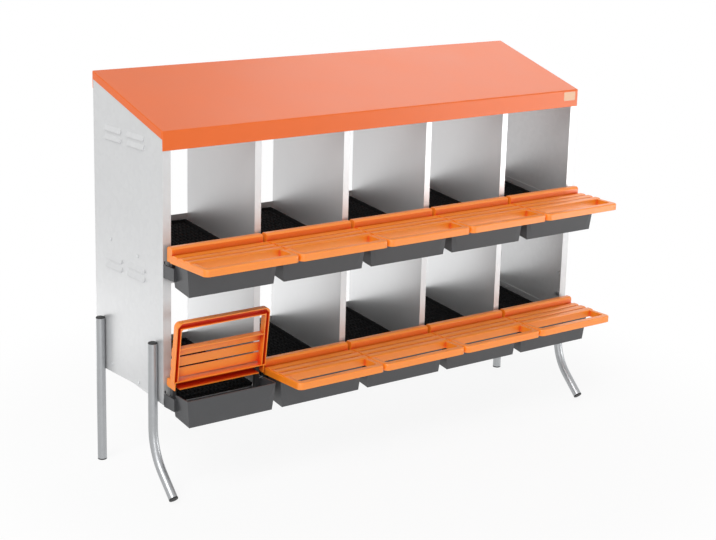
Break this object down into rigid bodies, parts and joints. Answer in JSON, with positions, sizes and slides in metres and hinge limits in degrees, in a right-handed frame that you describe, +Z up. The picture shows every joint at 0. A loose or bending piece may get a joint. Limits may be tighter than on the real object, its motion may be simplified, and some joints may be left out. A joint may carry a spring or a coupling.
{
  "type": "chicken nesting box",
  "caption": "Free-standing two-tier roll-away nest box for hens: sheet-metal bays under a sloping roof, each with a mat, an egg tray in front and a hinged slatted lid.",
  "frame": {"origin": "on the floor, under the middle of the bounding box", "axes": "+X along the row of bays from left to right seen from the front, +Y from the nest openings to the back, +Z up"},
  "size_m": [1.5004, 0.5524, 1.073],
  "materials": {
    "roof_paint": "satin orange powder coat",
    "galvanised_sheet": "bright galvanised sheet",
    "lid_plastic": "satin moulded orange plastic",
    "tray_plastic": "fine-textured dark grey plastic",
    "mat_plastic": "black moulded mat",
    "galvanised_tube": "galvanised tube",
    "cap_rubber": "black tube plugs",
    "fastener_steel": "zinc-plated"
  },
  "bodies": {
    "root": {"roof": "roof_paint", "left_side_panel": "galvanised_sheet", "right_side_panel": "galvanised_sheet", "lower_floor": "galvanised_sheet", "lower_back_panel": "galvanised_sheet", "lower_divider_1": "galvanised_sheet", "lower_divider_2": "galvanised_sheet", "lower_divider_3": "galvanised_sheet", "lower_divider_4": "galvanised_sheet", "upper_floor": "galvanised_sheet", "upper_back_panel": "galvanised_sheet", "upper_divider_1": "galvanised_sheet", "upper_divider_2": "galvanised_sheet", "upper_divider_3": "galvanised_sheet", "upper_divider_4": "galvanised_sheet", "lower_tray_1": "tray_plastic", "lower_mat_1": "mat_plastic", "lower_tray_2": "tray_plastic", "lower_mat_2": "mat_plastic", "lower_tray_3": "tray_plastic", "lower_mat_3": "mat_plastic", "lower_tray_4": "tray_plastic", "lower_mat_4": "mat_plastic", "lower_tray_5": "tray_plastic", "lower_mat_5": "mat_plastic", "upper_tray_1": "tray_plastic", "upper_mat_1": "mat_plastic", "upper_tray_2": "tray_plastic", "upper_mat_2": "mat_plastic", "upper_tray_3": "tray_plastic", "upper_mat_3": "mat_plastic", "upper_tray_4": "tray_plastic", "upper_mat_4": "mat_plastic", "upper_tray_5": "tray_plastic", "upper_mat_5": "mat_plastic", "left_front_leg": "galvanised_tube", "right_front_leg": "galvanised_tube", "left_rear_leg": "galvanised_tube", "right_rear_leg": "galvanised_tube", "leg_caps": "cap_rubber", "front_feet": "cap_rubber", "rear_feet": "cap_rubber", "leg_bolts": "fastener_steel", "floor_screws": "fastener_steel", "back_screws": "fastener_steel", "roof_screws": "fastener_steel"},
    "lower_lid_1": {"lower_lid_1": "lid_plastic"},
    "lower_lid_2": {"lower_lid_2": "lid_plastic"},
    "lower_lid_3": {"lower_lid_3": "lid_plastic"},
    "lower_lid_4": {"lower_lid_4": "lid_plastic"},
    "lower_lid_5": {"lower_lid_5": "lid_plastic"},
    "upper_lid_1": {"upper_lid_1": "lid_plastic"},
    "upper_lid_2": {"upper_lid_2": "lid_plastic"},
    "upper_lid_3": {"upper_lid_3": "lid_plastic"},
    "upper_lid_4": {"upper_lid_4": "lid_plastic"},
    "upper_lid_5": {"upper_lid_5": "lid_plastic"}
  },
  "joints": [
    {"name": "lower_lid_1_hinge", "type": "hinge", "parent": "root", "child": "lower_lid_1", "pos_m": [-0.58, -0.09901, 0.31], "axis": [-1, 0, 0], "range_deg": [-83, 11]},
    {"name": "lower_lid_2_hinge", "type": "hinge", "parent": "root", "child": "lower_lid_2", "pos_m": [-0.29, -0.09901, 0.31], "axis": [-1, 0, 0], "range_deg": [0, 94]},
    {"name": "lower_lid_3_hinge", "type": "hinge", "parent": "root", "child": "lower_lid_3", "pos_m": [0, -0.09901, 0.31], "axis": [-1, 0, 0], "range_deg": [0, 94]},
    {"name": "lower_lid_4_hinge", "type": "hinge", "parent": "root", "child": "lower_lid_4", "pos_m": [0.29, -0.09901, 0.31], "axis": [-1, 0, 0], "range_deg": [0, 94]},
    {"name": "lower_lid_5_hinge", "type": "hinge", "parent": "root", "child": "lower_lid_5", "pos_m": [0.58, -0.09901, 0.31], "axis": [-1, 0, 0], "range_deg": [0, 94]},
    {"name": "upper_lid_1_hinge", "type": "hinge", "parent": "root", "child": "upper_lid_1", "pos_m": [-0.58, -0.09901, 0.657], "axis": [-1, 0, 0], "range_deg": [0, 94]},
    {"name": "upper_lid_2_hinge", "type": "hinge", "parent": "root", "child": "upper_lid_2", "pos_m": [-0.29, -0.09901, 0.657], "axis": [-1, 0, 0], "range_deg": [0, 94]},
    {"name": "upper_lid_3_hinge", "type": "hinge", "parent": "root", "child": "upper_lid_3", "pos_m": [0, -0.09901, 0.657], "axis": [-1, 0, 0], "range_deg": [0, 94]},
    {"name": "upper_lid_4_hinge", "type": "hinge", "parent": "root", "child": "upper_lid_4", "pos_m": [0.29, -0.09901, 0.657], "axis": [-1, 0, 0], "range_deg": [0, 94]},
    {"name": "upper_lid_5_hinge", "type": "hinge", "parent": "root", "child": "upper_lid_5", "pos_m": [0.58, -0.09901, 0.657], "axis": [-1, 0, 0], "range_deg": [0, 94]}
  ]
}
